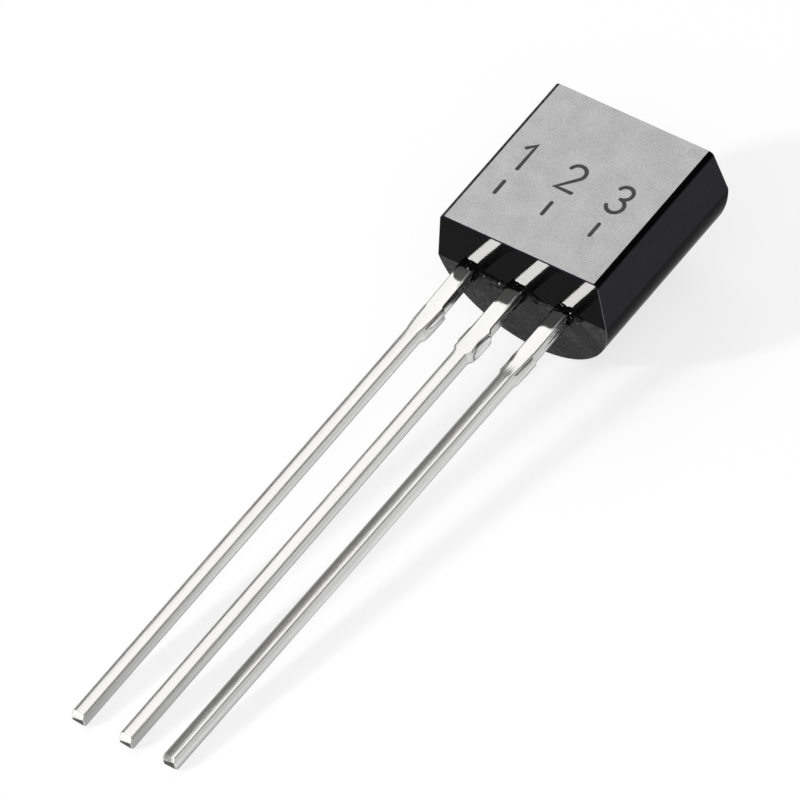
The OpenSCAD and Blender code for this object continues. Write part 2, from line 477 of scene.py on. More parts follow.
skins["ground_and_sheen_resin"], shader = new_material("ground_and_sheen_resin")
grain = add_grain(shader, 0.5, 0.035)
mixed = grain["Grain"].times_plus(0.68, grain["Cloud"] * 0.32)
paint(shader, mixed, grey(0.385), grey(0.665), grain["Cloud"], (0.5, 0.62), IOR=RESIN_IOR)
add_bump(shader, grain["Grain"], 0.6, 0.004)

CASE_SKINS = ["polished_resin", "eroded_resin", "ground_and_sheen_resin"]
CASE_SKINS += ["mirror_resin", "rim_highlight_paint", "back_resin"]
POLISHED, ERODED, GROUND_AND_SHEEN, MIRROR, RIM_HIGHLIGHT, BACK = range(6)
print("resin finishes:", ", ".join(skins))

# %% [markdown]
# ## The moulded case
#
# The section is a flat, two tight rounded edges, two sides that lean by the draft of the mould,
# and one arc for the back. Both ends lean back from the parting line, each half by its own draft.
# A box with a Boolean and a bevel would come close, but here each ring of the mesh is worked out
# along the real outline, so the long edges, the arc and the small rim round each end stay clean.
# Each point of the outline also carries its skin: a mirror on the right long edge, the rough one
# on the left, and the flat's matte grey, partly a painted sheen, which runs over the far end's rim.

# %% The outline of the case
SIDE_DRAFT = math.radians(7)
FRONT_END_DRAFT = math.radians(6)
BACK_END_DRAFT = math.radians(5)
EDGE_RADIUS = 0.12
RIM_RADIUS = 0.022
EDGE_STEPS = 12
BACK_STEPS = 72

side_top = CASE_HALF - FRONT_DEPTH * math.tan(SIDE_DRAFT)
flat_half = side_top - EDGE_RADIUS * math.tan((math.pi / 2 - SIDE_DRAFT) / 2)
edge_centre = FRONT_DEPTH - EDGE_RADIUS
back_radius = (CASE_HALF**2 + BACK_DEPTH**2) / (2 * BACK_DEPTH)
back_axis = back_radius - BACK_DEPTH
back_open = math.atan2(back_axis, CASE_HALF)


def even_steps(start, end, count):
    """Values at equal steps from start to end, both of them included."""
    return [start + (end - start) * k / count for k in range(count + 1)]


def way_of(angle):
    """The unit vector that points along an angle."""
    return Vector((math.cos(angle), math.sin(angle)))


def on_circle(x, z, radius, angle):
    """A point on a circle with the direction that faces out of it there."""
    return Vector((x, z)) + radius * way_of(angle), way_of(angle)


def case_outline():
    """(point, outward direction, finish) once round the section, from the right parting line."""
    side_low = Vector((CASE_HALF, 0))
    right = [(side_low, Vector((1, 0)), POLISHED)]
    side_high = on_circle(flat_half, edge_centre, EDGE_RADIUS, SIDE_DRAFT)[0]
    side_way = way_of(SIDE_DRAFT)
    right += [(side_low.lerp(side_high, k / 4), side_way, POLISHED) for k in (1, 2, 3)]
    for angle in even_steps(SIDE_DRAFT, math.pi / 2, EDGE_STEPS):
        right.append((*on_circle(flat_half, edge_centre, EDGE_RADIUS, angle), MIRROR))
    right[-1] = (*right[-1][:2], GROUND_AND_SHEEN)
    left = [(Vector((-p.x, p.y)), Vector((-w.x, w.y)), POLISHED) for p, w, _ in reversed(right)]
    left[:EDGE_STEPS] = [(p, w, ERODED) for p, w, _ in left[:EDGE_STEPS]]
    left[-1] = (*left[-1][:2], BACK)
    turns = even_steps(math.pi + back_open, math.tau - back_open, BACK_STEPS)[1:-1]
    return right + left + [(*on_circle(0, back_axis, back_radius, t), BACK) for t in turns]


outline = case_outline()
print("outline:", len(outline), "points; flat", round(2 * flat_half, 3), "mm wide")

# %% The mesh of the case
RIM_STEPS = 4
RIM_HIGHLIGHT_RINGS = (1, 2)
RIM_HIGHLIGHT_REACH = 0.45
RIM_HIGHLIGHT_LOW = -0.8


def end_fall(z):
    """How far an end face has leaned back at a height above or below the parting line."""
    return z * math.tan(FRONT_END_DRAFT) if z > 0 else -z * math.tan(BACK_END_DRAFT)


def case_rings():
    """Rings of points from the lead end to the far end, with a small rim round each end."""
    rims = even_steps(0, math.pi / 2, RIM_STEPS)
    rings = []
    for end, angles in ((0, reversed(rims)), (1, rims)):
        for angle in angles:
            ring = []
            for point, way, _ in outline:
                p = point - way * RIM_RADIUS * (1 - math.cos(angle))
                fall = end_fall(p.y) + RIM_RADIUS * (1 - math.sin(angle))
                ring.append(Vector((p.x, CASE_LENGTH - fall if end else fall, p.y)))
            rings.append(ring)
    return rings


def wall_finish(k, middle, i):
    """The skin of a wall face; the right of the lead end's rim is a painted highlight."""
    point, _, finish = outline[i]
    if k == middle or (k > middle and finish == GROUND_AND_SHEEN):
        return finish
    # The right side of the lead end's rim takes the pale rim skin, a painted highlight.
    on_right = point.x > CASE_HALF - RIM_HIGHLIGHT_REACH and RIM_HIGHLIGHT_LOW < point.y < edge_centre
    return RIM_HIGHLIGHT if k in RIM_HIGHLIGHT_RINGS and on_right else POLISHED


def add_wall(shape, near, far, finish=None):
    """Faces between two closed rows of points, with the skin of each if there is one."""
    for i in range(len(near)):
        j = (i + 1) % len(near)
        wall = shape.faces.new((near[i], near[j], far[j], far[i]))
        if finish:
            wall.material_index = finish(i)


def case_mesh():
    """The closed case: walls ring by ring, and each end as a front and a back face."""
    mesh = bpy.data.meshes.new("case")
    shape = bmesh.new()
    rings = [[shape.verts.new(p) for p in ring] for ring in case_rings()]
    middle = len(rings) // 2 - 1
    for k, (near, far) in enumerate(zip(rings, rings[1:])):
        add_wall(shape, near, far, lambda i: wall_finish(k, middle, i))
    left = next(i for i, (p, _, _) in enumerate(outline) if p.x < 0 and abs(p.y) < 1e-9)
    for ring, front_skin in ((rings[0], MIRROR), (rings[-1], POLISHED)):
        for part, skin in ((ring[: left + 1], front_skin), (ring[left:] + ring[:1], ERODED)):
            shape.faces.new(part).material_index = skin
    close_shape(shape, mesh)
    for name in CASE_SKINS:
        mesh.materials.append(skins[name])
    return mesh


case = new_piece("case", case_mesh(), "epoxy", "body")
settle_normals(case, 9)
print("case:", len(case.data.vertices), "points,", len(case.data.polygons), "faces")

# %% [markdown]
# ## Tin-plated legs
#
# The legs are strips of copper alloy with a bright tin plating. The wide faces were rolled and
# stay smooth, brightest at the roots, which the mould kept from wear. The narrow sides were
# sheared by the stamping tool: its teeth drew streaks along them, and each side lightens downwards
# and ends in a dark line of painted shade. The edges between are rubbed pale, and the facets under
# them that face down are painted dark, painted shade under the burr. Towards the tips the sides
# are painted darker, a painted reflection of the leg's shadow on the table. One material does it
# all: it tells the faces apart by the direction they look in, and the root from the shank by its
# place on the leg. The cut faces are bare metal, near black at the tips and grey round a pale cut
# on the stubs.

# %% The tin
ROLLED_TONES = ((0.66, 0.66, 0.65, 1.0), (0.71, 0.70, 0.69, 1.0))
SHEARED_TONES = ((0.42, 0.42, 0.42, 1.0), (0.70, 0.70, 0.69, 1.0))
TORN_TONE = grey(0.92)
# The line tone is painted shade along the lower edge of a side.
SHADE_LINE_TONE = grey(0.3)
RUBBED_TONE = grey(0.93)
# The burr tone is painted shade on facets that face down.
BURR_SHADE_TONE = grey(0.22)


def place_on_leg(tree):
    """How far a point lies from the lead end, negative on the legs, and how high, both in mm."""
    spot = split(level_place(tree))
    along = spot["Y"].times_plus(1.0 / MM, -parting_start / MM)
    return along, spot["Z"].times_plus(1.0 / MM, -parting_height / MM)


def plated_tin(name):
    """Bright plated metal: smooth rolled faces, streaked sheared sides."""
    material, shader = new_material(name)
    fine = add_grain(shader, 0.25, 0.03, 24.0)
    streaks = add_grain(shader, 0.07, 0.03, 60.0)
    way = split(outputs_of(shader.id_data, "ShaderNodeNewGeometry")["Normal"])
    along, height = place_on_leg(shader.id_data)
    sideways = abs(way["X"])
    side = sideways.ramp(0.60, 0.90)
    # Facets that face down below the sides are painted dark: painted shade under the burr.
    burr = way["Z"].ramp(-0.35, -0.06, 1.0, 0.0) * sideways.ramp(0.15, 0.35)
    shank = along.ramp(-1.9, -1.0, 1.0, 0.0)
    rubbed = sideways.ramp(0.20, 0.40).least(sideways.ramp(0.75, 0.97, 1.0, 0.0))
    rubbed = rubbed * shank.most(0.5)
    # Sides are painted darker towards the tips: a painted reflection of the leg's shadow on the
    # table.
    tip_shade_factor = along.ramp(-14.5, -9.0, 0.62, 1.0).most(way["Z"].ramp(0.05, 0.12))

    sheared = streaks["Cloud"].blend(*SHEARED_TONES)
    sheared = height.ramp(-0.17, 0.0, 0.40, 0.0).blend(sheared, TORN_TONE)
    sheared = tip_shade_factor.blend(grey(0.0), sheared)
    # The lowest part of each side gets a painted shade line.
    sheared = height.ramp(-0.215, -0.170, 0.75, 0.0).blend(sheared, SHADE_LINE_TONE)
    tones = side.blend(fine["Cloud"].blend(*ROLLED_TONES), sheared)
    tones = (rubbed * 0.8).blend(tones, RUBBED_TONE)
    tones = burr.blend(tones, BURR_SHADE_TONE)

    smooth = fine["Grain"].ramp(0.0, 1.0, 0.05, 0.09)
    drawn = fine["Grain"].ramp(0.0, 1.0, 0.14, 0.20)
    roughness = rubbed.times_plus(0.30, smooth + (drawn - smooth) * shank)
    roughness = side.times_plus(0.10, roughness)
    set_inputs(shader, Base_Color=tones, Roughness=roughness, Metallic=1.0)
    drawn_lines = fine["Grain"] * shank.times_plus(0.8, 0.2)
    add_bump(shader, drawn_lines + streaks["Grain"] * (side * 3.0), 0.5, 0.0012)
    return material


def torn_metal(name, low, high, roughness, stretch):
    """Bare metal that a cut has torn."""
    material, shader = new_material(name)
    grain = add_grain(shader, 0.08, 0.02, stretch)
    paint(shader, grain["Cloud"], grey(low), grey(high), grain["Grain"], roughness, Metallic=1.0)
    add_bump(shader, grain["Grain"], 0.5, 0.004)
    return material


bright_tin = plated_tin("bright_tin")
cut_metal = torn_metal("cut_metal", 0.05, 0.11, (0.35, 0.55), 2.0)
burr_metal = torn_metal("burr_metal", 0.18, 0.36, (0.35, 0.5), 2.0)
sheared_stub = torn_metal("sheared_stub", 0.58, 1.0, (0.2, 0.35), 30.0)
scratched_tin_and_glint = torn_metal("scratched_tin_and_glint", 0.65, 0.9, (0.4, 0.6), 20.0)
metals = (bright_tin, cut_metal, burr_metal, sheared_stub, scratched_tin_and_glint)
print("metals:", ", ".join(m.name for m in metals))

# %% [markdown]
# ## One rule for three legs
#
# Each leg is the same strip, drawn through a row of stations: the wide pad or post inside the
# resin, the root, the two stubs of the cut tie bar, the long shank and the chamfered tip. That is
# a rule, so Geometry Nodes makes it. A plain cylinder gives rings of points in a known order, and
# the tree moves each point to its place on a rounded section at its station. The three legs are
# then the same tree with other numbers, such as the twist that the cutting tool left in the third.

# %% The sizes of a leg
CORNER_POINTS = 7
STATIONS = 14
RING = 4 * CORNER_POINTS
ROOT_STATIONS = 6
ROOT_BACK = 0.19
ROOT_SHARPNESS = 0.4
ROOT_RISE = (-1.3, 0.2, 0.7)
BURR_LEFT = 0.02
BURR_CLOSING = 0.93
SETTLE_RUN = 0.4
TWIST_RUN = 0.36
TWIST_END = 0.04
TIP_STEP = 0.33
TIP_TAPER = 0.012
TIP_POINT = 0.05
TIP_SHRINK = [0.45, 0.25]
TIP_CLOSING = [0.67, 1.0]

LEG_SIZES = {
    "Middle": 0.0, "Height": -0.10, "Thickness": 0.36, "Width": 0.35, "Length": 14.5215,
    "Post start": 0.70, "Post end": 3.10, "Post width": 0.97,
    "Pad start": 3.10, "Pad left": -0.485, "Pad right": 0.485,
    "Root lift": 0.0, "Root left": 0.19, "Root right": 0.19,
    "Left ramp": 1.34, "Left start": 1.40, "Right ramp": 1.22, "Right start": 1.30,
    "Stub middle": 1.70, "Stub end": 2.00, "Shank start": 2.11,
    "Left upper": 0.22, "Left middle": 0.20, "Left lower": 0.22,
    "Right upper": 0.24, "Right middle": 0.21, "Right lower": 0.22, "Right back": 0.26,
    "Tip length": 0.11, "Tip skew": 0.037, "Tip depth": 0.147,
    "Tip left lift": 0.14, "Tip right lift": 0.09,
    "Twist": 0.0, "Lean": 0.0,
    "Edge radius": 0.034, "Rolled radius": 0.08, "Burr radius": 0.055, "Crown": 0.0085,
}


def pick(index, choices):
    """The choice at an index, from an Index Switch node."""
    node = add_node(index.socket.id_data, "GeometryNodeIndexSwitch", {"data_type": "FLOAT"})
    while len(node.index_switch_items) < len(choices):
        node.index_switch_items.new()
    return fed_in_order(node, index, *choices)


print("a leg:", STATIONS, "stations of", RING, "points")

# %% [markdown]
# The corners of a section are numbered from the right front one, round by the left. A station
# gives each of them its own reach, because the tool that cut the tie bar rolled the front edge
# over and left the back edge wide. On the roots that front edge is still sharp. On the two sides
# the cut also starts at its own distance.

# %% The stations of a leg
LEVELS = (" upper", " middle", " lower")


def leg_distances(given, station, on_left):
    """How far along the leg each station lies, on the left and on the right side."""
    less = {name: given[name] * -1.0 for name in (
        "Left ramp", "Left start", "Right ramp", "Right start",
        "Stub middle", "Stub end", "Shank start", "Length",
    )}
    tip_left = less["Length"] + given["Tip length"]
    near_left = given["Tip length"].times_plus(TIP_STEP, less["Length"])
    near_right = given["Tip skew"].times_plus(-TIP_STEP, near_left)
    tips = {"Left": [tip_left, near_left], "Right": [tip_left - given["Tip skew"], near_right]}
    inside = [given[name] for name in ("Post end", "Pad start", "Pad start")]
    inside += [given["Post start"]] * 2
    stub = [less["Stub middle"], less["Stub end"], less["Shank start"]]
    stub.append(less["Shank start"] - SETTLE_RUN)
    cuts = {side: [less[side + " ramp"], less[side + " start"]] for side in tips}
    left, right = (
        pick(station, inside + cuts[side] + stub + tips[side] + [less["Length"]]) for side in tips
    )
    return (left - right).times_plus(on_left, right)


def leg_reaches(given, station, corner):
    """How far each corner of each station reaches from the middle of the leg."""
    post = given["Post width"] * 0.5
    shank = given["Width"] * 0.5
    wide_left = [given["Pad left"] * -1.0] * 2 + [post] * 2
    wide_right = [given["Pad right"]] * 2 + [post] * 2
    cut_left = [given["Left" + level] for level in LEVELS]
    cut_right = [given["Right" + level] for level in LEVELS]
    burr_left = [reach + BURR_LEFT for reach in cut_left]
    burr_right = [given["Right back"]] * 2 + [given["Right back"] * BURR_CLOSING]
    low_left = [shank] * 3 + [shank - TIP_TAPER, shank - TIP_POINT]
    low_right = [shank] * 4 + [shank - TIP_TAPER]
    left_front = wide_left + [given["Root left"]] * 2 + cut_left + low_left
    left_back = wide_left + [ROOT_BACK] * 2 + burr_left + low_left
    right_front = wide_right + [given["Root right"]] * 2 + cut_right + low_right
    right_back = wide_right + [ROOT_BACK] * 2 + burr_right + low_right
    sides = (right_front, left_front, left_back, right_back)
    return pick(corner, [pick(station, side) for side in sides])


print("a leg reaches", LEG_SIZES["Post end"], "mm in and", LEG_SIZES["Length"], "mm out")

# %% The section of a leg


def leg_points(tree, given):
    """The place of each point of the plain cylinder on the leg, before the leg is bent."""
    index = output_of(tree, "GeometryNodeInputIndex")
    station = ((index + 0.5) / RING).floor()
    round_it = index - station * RING
    corner = ((round_it + 0.5) / CORNER_POINTS).floor()
    share = (round_it - corner * CORNER_POINTS) / (CORNER_POINTS - 1)
    angle = (corner + share) * (math.pi / 2)

    edge, burr = given["Edge radius"], given["Burr radius"]
    sharper = [ROOT_SHARPNESS] * ROOT_STATIONS + [1.0] * (STATIONS - ROOT_STATIONS)
    rolled = given["Rolled radius"] * pick(station, sharper)
    shrink = pick(station, [1.0] * (STATIONS - 2) + TIP_SHRINK)
    radius = pick(corner, [edge, rolled, edge, burr]) * shrink
    side = pick(corner, [1.0, -1.0, -1.0, 1.0])
    face = pick(corner, [1.0, 1.0, -1.0, -1.0])
    centre_x = side * (leg_reaches(given, station, corner) - radius)
    centre_z = face * (given["Thickness"] * 0.5 - radius)
    x = radius.times_plus(angle.cosine(), centre_x)
    z = radius.times_plus(angle.sine(), centre_z)

    level_cut = 1.0 - given["Tip skew"] / given["Tip length"]
    pinch = [given["Tip depth"] * level_cut, given["Tip depth"]]
    pinch += [given["Tip left lift"], given["Tip right lift"]]
    closing = pick(station, [0.0] * (STATIONS - 2) + TIP_CLOSING)
    z = (pick(corner, pinch) * (face * -1.0)).times_plus(closing, z)
    along = leg_distances(given, station, side < 0.0)
    return output_of(tree, "ShaderNodeCombineXYZ", X=x, Y=along, Z=z)


def set_points(mesh, **change):
    """Moves every point, to a Position or by an Offset."""
    return output_of(mesh.socket.id_data, "GeometryNodeSetPosition", Geometry=mesh, **change)


print("its section:", LEG_SIZES["Width"], "by", LEG_SIZES["Thickness"], "mm")

# %% [markdown]
# Rolling also leaves the wide front face of the shank a few thousandths of a millimetre lower
# along its edges. Nobody can see that as a shape, but a mirror shows it at once: the reflection
# fades from white to grey across the leg. So the tree splits the long faces and lowers the points
# of the front by the square of their distance from the middle. The roots rise a little towards
# the case, and the twist of a leg comes in gradually over the last part of its stub.

# %% The tree of a leg
CROWN_DEPTH = 0.03
CROWN_START = 0.05
CUT_REACH = 0.05
CUT_FACING = 0.97
MERGE_GAP = 0.0005


def leg_tree():
    """The Geometry Nodes tree of a leg."""
    tree = bpy.data.node_groups.new("leg_from_stations", "GeometryNodeTree")
    tree.interface.new_socket("Geometry", in_out="OUTPUT", socket_type="NodeSocketGeometry")
    for name, value in LEG_SIZES.items():
        socket = tree.interface.new_socket(name, in_out="INPUT", socket_type="NodeSocketFloat")
        socket.default_value = value
    given = outputs_of(tree, "NodeGroupInput")
    rings = {"Vertices": RING, "Side_Segments": STATIONS - 1}
    tube = output_of(tree, "GeometryNodeMeshCylinder", {"fill_type": "NGON"}, **rings)
    leg = set_points(tube, Position=leg_points(tree, given))
    leg = output_of(tree, "GeometryNodeMergeByDistance", Geometry=leg, Distance=MERGE_GAP)
    leg = output_of(tree, "GeometryNodeSubdivideMesh", Mesh=leg, Level=2)

    here = split(output_of(tree, "GeometryNodeInputPosition"))
    off_middle = here["X"] / (given["Width"] * 0.5)
    squared = (off_middle**2.0).least(1.0)
    on_top = here["Z"] > given["Thickness"] * 0.5 - CROWN_DEPTH
    on_shank = here["Y"] < given["Shank start"] * -1.0 - CROWN_START
    sunk = squared * (on_top * on_shank) * given["Crown"]
    start, top, end = ROOT_RISE
    raised = here["Y"].ramp(start, top).least(here["Y"].ramp(top, end, 1.0, 0.0))
    lift = raised * given["Root lift"] - sunk
    leg = set_points(leg, Offset=output_of(tree, "ShaderNodeCombineXYZ", Z=lift))

    place = output_of(tree, "GeometryNodeInputPosition")
    pivot = output_of(tree, "ShaderNodeCombineXYZ", Y=given["Stub middle"] * -1.0)
    bend = output_of(tree, "ShaderNodeCombineXYZ", Y=given["Twist"], Z=given["Lean"])
    turn = {"Vector": place, "Center": pivot, "Rotation": bend}
    turned = output_of(tree, "ShaderNodeVectorRotate", {"rotation_type": "EULER_XYZ"}, **turn)
    low_end = given["Stub end"].times_plus(-1.0, -TWIST_END)
    share = split(place)["Y"].ramp(low_end, low_end + TWIST_RUN, 1.0, 0.0)
    leg = set_points(leg, Position=share.blend(place, turned, "VECTOR"))
    home = output_of(tree, "ShaderNodeCombineXYZ", X=given["Middle"], Z=given["Height"])
    leg = set_points(leg, Offset=home)

    leg = output_of(tree, "GeometryNodeRealizeInstances", Geometry=leg)
    leg = output_of(tree, "GeometryNodeSetMaterial", Geometry=leg, Material=bright_tin)
    way = split(output_of(tree, "GeometryNodeInputNormal"))
    spot = split(output_of(tree, "GeometryNodeInputPosition"))
    on_tip = (abs(way["Y"]) > CUT_FACING) * (spot["Y"] < CUT_REACH - given["Length"])
    cut = {"Selection": on_tip, "Material": cut_metal}
    leg = output_of(tree, "GeometryNodeSetMaterial", Geometry=leg, **cut)
    feed(add_node(tree, "NodeGroupOutput").inputs[0], leg)
    return tree


LEG_TREE = leg_tree()
print("leg tree:", len(LEG_TREE.nodes), "nodes")

# %% [markdown]
# Three sets of numbers turn the one tree into the three legs. The first was left twisted by less
# than two degrees and the third by eight, and the third leans a little towards the second. Each
# stub was cut in its own way. What a leg doesn't name is as in the common sizes.

# %% The three legs
PITCH = 1.27
ROW_OFFSET = -0.16

LEGS = {
    "lead_emitter": {
        "Middle": ROW_OFFSET - PITCH, "Root lift": 0.05, "Root right": 0.215,
        "Left upper": 0.212, "Left middle": 0.196, "Left lower": 0.196,
        "Right upper": 0.245, "Right middle": 0.223, "Right lower": 0.197, "Right back": 0.27,
        "Twist": math.radians(-1.7),
    },
    "lead_base": {
        "Middle": ROW_OFFSET, "Root lift": 0.035, "Root right": 0.235,
        "Post end": 1.90, "Pad start": 1.90,
        "Left ramp": 1.02, "Left start": 1.46, "Right ramp": 1.26, "Right start": 1.35,
        "Left upper": 0.232, "Left middle": 0.235, "Left lower": 0.24,
        "Right upper": 0.285, "Right middle": 0.224, "Right lower": 0.255, "Right back": 0.275,
    },
    "lead_collector": {
        "Middle": ROW_OFFSET + PITCH, "Root right": 0.205,
        "Post end": 3.70, "Pad start": 2.20, "Pad left": -1.755,
        "Left ramp": 1.44, "Left start": 1.50, "Right ramp": 1.32, "Right start": 1.40,
        "Stub end": 2.06, "Shank start": 2.18,
        "Left upper": 0.222, "Left middle": 0.178, "Left lower": 0.222,
        "Right upper": 0.20, "Right middle": 0.182, "Right lower": 0.18, "Right back": 0.235,
        "Twist": math.radians(-8.0), "Lean": math.radians(-0.45), "Tip depth": 0.104,
    },
}
LEGS = {name: LEG_SIZES | own for name, own in LEGS.items()}


def make_leg(node_name, sizes):
    """Runs the tree once and keeps its result as a plain mesh."""
    maker = bpy.data.objects.new("maker", bpy.data.meshes.new("blank"))
    scene.collection.objects.link(maker)
    modifier = maker.modifiers.new("leg", "NODES")
    modifier.node_group = LEG_TREE
    for socket in LEG_TREE.interface.items_tree:
        if socket.in_out == "INPUT":
            modifier[socket.identifier] = sizes[socket.name]
    graph = bpy.context.evaluated_depsgraph_get()
    mesh = bpy.data.meshes.new_from_object(maker.evaluated_get(graph))
    bpy.data.objects.remove(maker)
    shape = bmesh.new()
    shape.from_mesh(mesh)
    close_shape(shape, mesh)
    leg = new_piece(node_name.replace("lead", "leg"), mesh, "tin_plate", node_name)
    settle_normals(leg, 25)
    return leg


for node_name, sizes in LEGS.items():
    leg = make_leg(node_name, sizes)
    solid = [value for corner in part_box(node_name) for value in corner]
    box = [end(v.co[i] for v in leg.data.vertices) for end in (min, max) for i in range(3)]
    gap = max(abs(a - b) for a, b in zip(box, solid))
    print(leg.name, len(leg.data.polygons), "faces; within", round(gap / MM, 4), "mm of its solid")

# %% [markdown]
# ## Where the legs come out
#
# The two halves of the mould close on the legs, and a little resin always creeps out there. It
# stands round each leg as a ragged black collar, with a thin ring a little further out. It runs
# along the parting line as low fins and paler wisps, stains the end just below the line, and
# leaves a few crumbs. The black fins are thickest beside the legs and the dark stains reach deep,
# both partly painted shade, and the crumbs are painted pale as painted glints. These pieces are
# tiny, but the eye finds their absence at once. All but the crumbs are skinned over a row of
# sections, whose sizes follow the leg and a smooth noise.

# %% Small forms
SEED_GAP = 7.31


def wander(x, y, seed, size):
    """A smooth value from -1 to 1 that changes from place to place."""
    return noise.noise(Vector((x / size, y / size, seed * SEED_GAP)))


def skin_rows(shape, loops, closed=True):
    """Skins a form from loops of points, each joined to the next."""
    rows = [[shape.verts.new(p) for p in loop] for loop in loops]
    followers = rows[1:] + rows[:1] if closed else rows[1:]
    for near, far in zip(rows, followers):
        add_wall(shape, near, far)
    if not closed:
        shape.faces.new(rows[0])
        shape.faces.new(rows[-1])


def small_piece(name, mesh_name, material, add_one, rows, angle=60):
    """A piece with one small form for each row of sizes."""
    shape = bmesh.new()
    for row in rows:
        add_one(shape, *row)
    mesh = bpy.data.meshes.new(mesh_name)
    close_shape(shape, mesh)
    mesh.materials.append(material)
    mesh.polygons.foreach_set("use_smooth", [True] * len(mesh.polygons))
    mesh.set_sharp_from_angle(angle=math.radians(angle))
    new_piece(name, mesh, "tin_plate" if material in metals else "epoxy")
    print(name.replace("_", " ") + ":", len(mesh.polygons), "faces")


print("the noise along a side:", [round(wander(k / 10, 0, 1, 0.3), 2) for k in range(8)])

# %% Collars of resin
LEG_FRONT = 0.08
HALF_THICK = 0.18
HUGGED = (0.195, 0.182)
LIP_DISTANCE = 0.08
LIFT_AT_COLLAR = 0.87
TURN_STEPS = 96
LIP_STEPS = 8


def round_leg():
    """(cosine, sine, reach) at each step round a leg, whose section is a rounded square."""
    for angle in even_steps(0, math.tau, TURN_STEPS)[:-1]:
        c, s = math.cos(angle), math.sin(angle)
        yield c, s, (abs(c / HUGGED[0]) ** 8 + abs(s / HUGGED[1]) ** 8) ** (-1 / 8)


def add_collar(shape, middle, lift, skirt, seed):
    """A ragged collar round the root of one leg. The skirt is its length on front, right, left."""
    loops = []
    for c, s, root in round_leg():
        front, right, left = max(s, 0) ** 2, max(c, 0) ** 2, max(-c, 0) ** 2
        ragged = wander(c, s, seed, 0.3)
        fine = wander(c, s, seed + 3, 0.1)
        foot = 0.020 + 0.05 * right + 0.03 * left + 0.014 * ragged + 0.008 * fine
        reach = 0.04 + skirt[0] * front + skirt[1] * right + skirt[2] * left
        rise = reach * (1 + 0.35 * ragged + 0.25 * fine)
        ring = [(root + foot, 0.0), (root + 0.5 * foot, -0.3 * rise), (root + 0.008, -rise)]
        ring += [(root - 0.02, -rise), (root - 0.02, 0.08)]
        loop = []
        for radius, y in ring:
            z = s * radius + LEG_FRONT - HALF_THICK
            loop.append(Vector((middle + c * radius, y + end_fall(z) + 0.004, z + lift)))
        loops.append(loop)
    skin_rows(shape, loops)


def add_lip(shape, middle, lift, seed):
    """A thin ragged ring of resin round a leg, a little way out of the case."""
    loops = []
    for c, s, root in round_leg():
        thick = 0.026 + 0.014 * wander(c, s, seed, 0.25) + 0.012 * wander(c, s, seed + 4, 0.1)
        y = -LIP_DISTANCE + 0.03 * wander(c, s, seed + 6, 0.25)
        y -= 0.10 * c**8 + 0.10 * max(-c, 0) ** 2
        loop = []
        for turn in even_steps(0, math.tau, LIP_STEPS)[:-1]:
            radius = root + thick * math.cos(turn)
            along = y + 1.2 * thick * math.sin(turn)
            z = s * radius + LEG_FRONT - HALF_THICK
            loop.append(Vector((middle + c * radius, along, z + lift)))
        loops.append(loop)
    skin_rows(shape, loops)


def add_exit(shape, sizes, skirt, seed):
    """The collar and the lip of one leg."""
    place = (sizes["Middle"], sizes["Root lift"] * LIFT_AT_COLLAR)
    add_collar(shape, *place, skirt, seed)
    add_lip(shape, *place, seed + 30)


SKIRTS = [(0.01, 0.16, 0.26), (0.01, 0.16, 0.28), (0.01, 0.10, 0.12)]
exits = zip(LEGS.values(), SKIRTS, (1, 2, 3))
small_piece("resin_collars", "collars", skins["soot_and_shade_resin"], add_exit, exits, 35)

# %% Fins, stains and wisps at the parting line


def along_line(start, end, step):
    """(place, share of the way) at equal steps from one end of a line to the other."""
    steps = max(8, int((end - start) / step))
    for k in range(steps + 1):
        yield start + (end - start) * (k / steps), k / steps


def add_fin(shape, start, end, height, seed, root, middle=0.0):
    """A low ragged fin along the parting line of the lead end, thickest beside its leg."""
    loops = []
    for x, share in along_line(start, end, 0.02):
        fade = math.sin(math.pi * share) ** 0.5
        ragged = 0.5 + 0.5 * wander(x, 0, seed, 0.11) + 0.4 * wander(x, 0, seed + 2, 0.03)
        tall = 0.004 + fade * height * max(ragged, 0.05)
        # The thick part beside the leg is, for the black fins, partly painted shade.
        deep = root * (1 - share)
        thick = 0.010 + deep + fade * (0.030 + 0.050 * wander(x, 1, seed, 0.05))
        drift = middle + 0.4 * deep - 0.02 * fade + 0.05 * wander(x, 2, seed, 0.12)
        section = ((0.03, thick), (-tall, 0.5 * thick), (-tall, -0.5 * thick), (0.03, -thick))
        loops.append([Vector((x, y, drift + z)) for y, z in section])
    skin_rows(shape, loops, closed=False)


def add_stain_and_shade(shape, start, end, depth, seed):
    """A dark film on the lead end below the parting line: partly resin, partly painted shade."""
    loops = []
    for x, share in along_line(start, end, 0.015):
        ragged = 1 + 0.7 * wander(x, 0, seed, 0.12) + 0.6 * wander(x, 0, seed + 2, 0.035)
        low = -0.01 - depth * math.sin(math.pi * share) ** 0.6 * ragged
        section = ((-0.004, 0.0), (-0.004, low), (0.01, low), (0.01, 0.0))
        loops.append([Vector((x, end_fall(z) + y, z)) for y, z in section])
    skin_rows(shape, loops, closed=False)


# The black fins run thick beside the legs: partly resin, partly painted shade.
#    start  end  height seed root  middle
FINS_AND_SHADE = [(-1.21, -0.34, 0.030, 1, 0.14), (0.05, 0.60, 0.030, 2, 0.18), (1.30, 1.68, 0.030, 3, 0.18)]
WISPS = [
    (-1.12, -0.72, 0.030, 4, 0.03, -0.13),
    (-0.86, -0.42, 0.030, 6, 0.03, -0.08),
    (0.30, 0.90, 0.025, 5, 0.02, -0.05),
]
# These films are partly stains of resin and partly painted shade below the fins.
#          start   end  depth seed
STAINS_AND_SHADE = [(-1.26, -0.30, 0.32, 7), (0.02, 0.80, 0.15, 8), (1.24, 1.66, 0.12, 9)]

